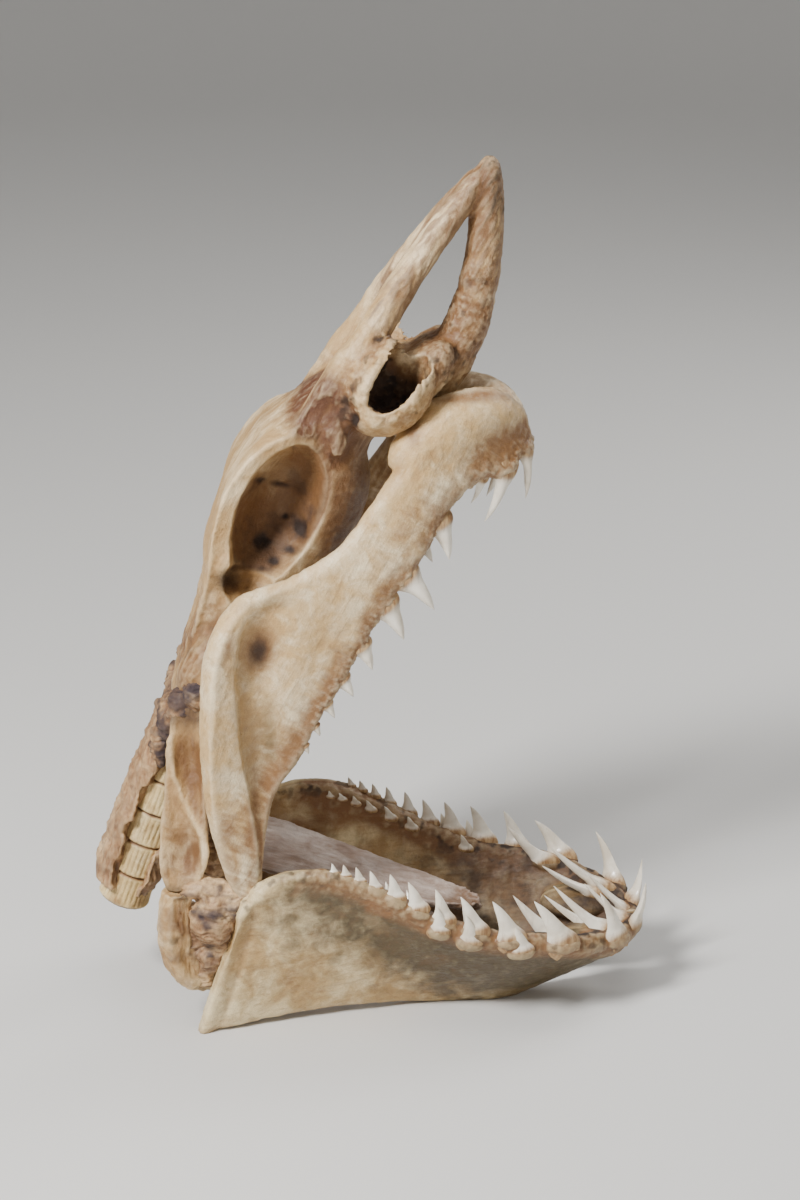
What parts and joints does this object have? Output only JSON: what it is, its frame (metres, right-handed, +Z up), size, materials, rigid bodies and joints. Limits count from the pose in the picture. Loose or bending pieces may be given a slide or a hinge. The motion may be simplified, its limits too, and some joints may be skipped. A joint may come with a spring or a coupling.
{
  "type": "mako shark skull",
  "caption": "Life-size dried mako shark skull: cranium with an open three-rod snout, gaping toothed jaws, hyoid arch and first vertebrae, still and resting on its lower jaw.",
  "frame": {"origin": "on the floor, under the middle of the whole skull's bounding box", "axes": "+Z up, +X towards the chin, +Y towards the animal's left side"},
  "size_m": [0.3333, 0.1658, 0.5132],
  "materials": {
    "cartilage": "dried cartilage, cream with ochre and brown stains",
    "jaw": "dried cartilage, ivory with brown stains at the teeth",
    "tongue": "dried grey-lilac cartilage and skin",
    "tissue": "dried brown ligament",
    "vertebra": "dried pale yellow centra"
  },
  "bodies": {
    "root": {"cranium": "cartilage", "rostrum_medial": "cartilage", "rostrum_lateral_right": "cartilage", "rostrum_lateral_left": "cartilage", "upper_jaw_right": "jaw", "upper_jaw_left": "jaw", "lower_jaw_right": "jaw", "lower_jaw_left": "jaw", "hyomandibula_right": "cartilage", "hyomandibula_left": "cartilage", "ceratohyal_right": "cartilage", "ceratohyal_left": "cartilage", "basihyal": "tongue", "jaw_joint_right": "tissue", "jaw_joint_left": "tissue", "vertebral_column": "vertebra"}
  },
  "joints": []
}
